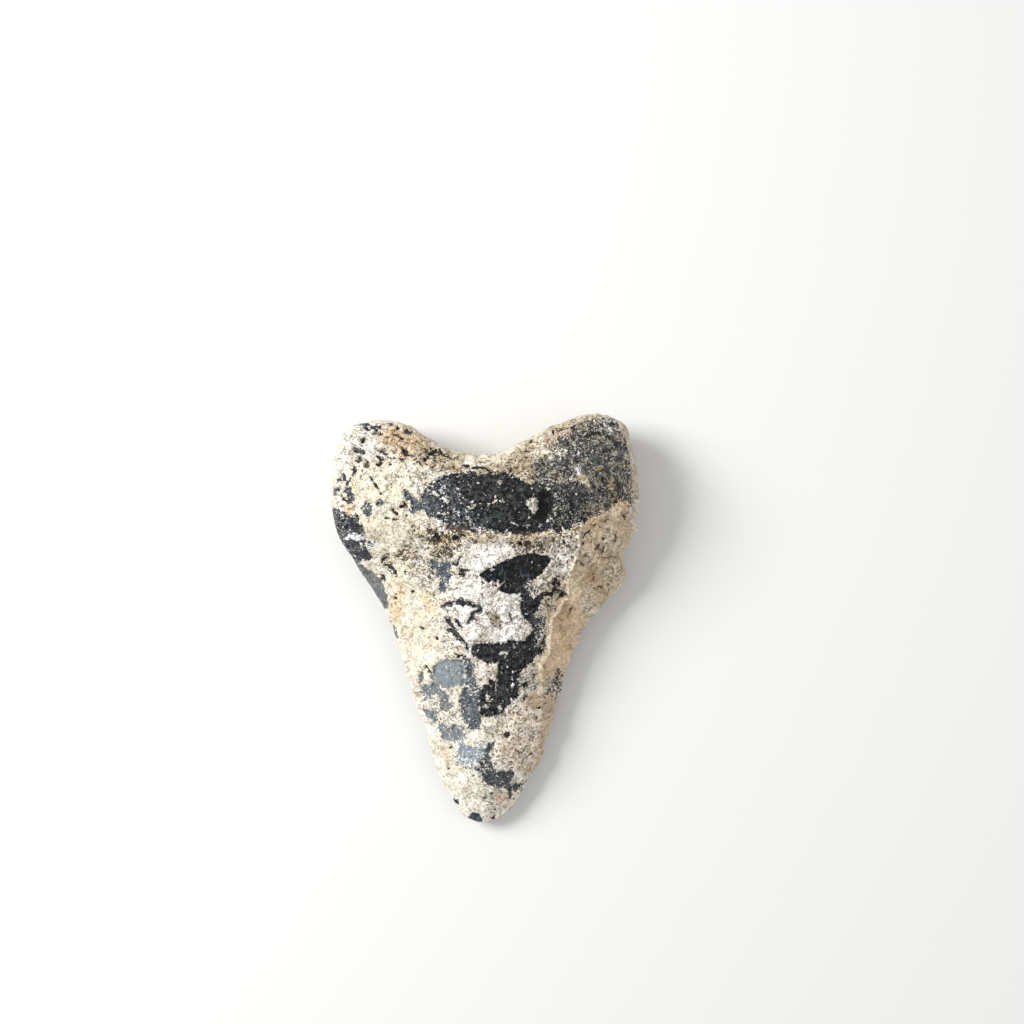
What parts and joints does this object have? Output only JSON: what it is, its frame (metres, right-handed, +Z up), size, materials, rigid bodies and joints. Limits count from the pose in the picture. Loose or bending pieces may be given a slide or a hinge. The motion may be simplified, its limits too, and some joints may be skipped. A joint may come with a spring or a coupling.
{
  "type": "fossil megalodon tooth",
  "caption": "Broad triangular fossil shark tooth with a thick two-lobed root and pale lime crust over dark enamel, lying on its flat outer face.",
  "frame": {"origin": "on the resting surface, under the middle of the tooth's bounding box", "axes": "+Y from the tip towards the root lobes, +Z up through the swollen inner face, +X towards the flank with the thick crust"},
  "size_m": [0.0638, 0.0852, 0.0206],
  "materials": {
    "fossil_crust": "matt pale lime crust, pitted, with bare patches of dark satin enamel and black porous root bone"
  },
  "bodies": {
    "root": {"megalodon_tooth": "fossil_crust"}
  },
  "joints": []
}
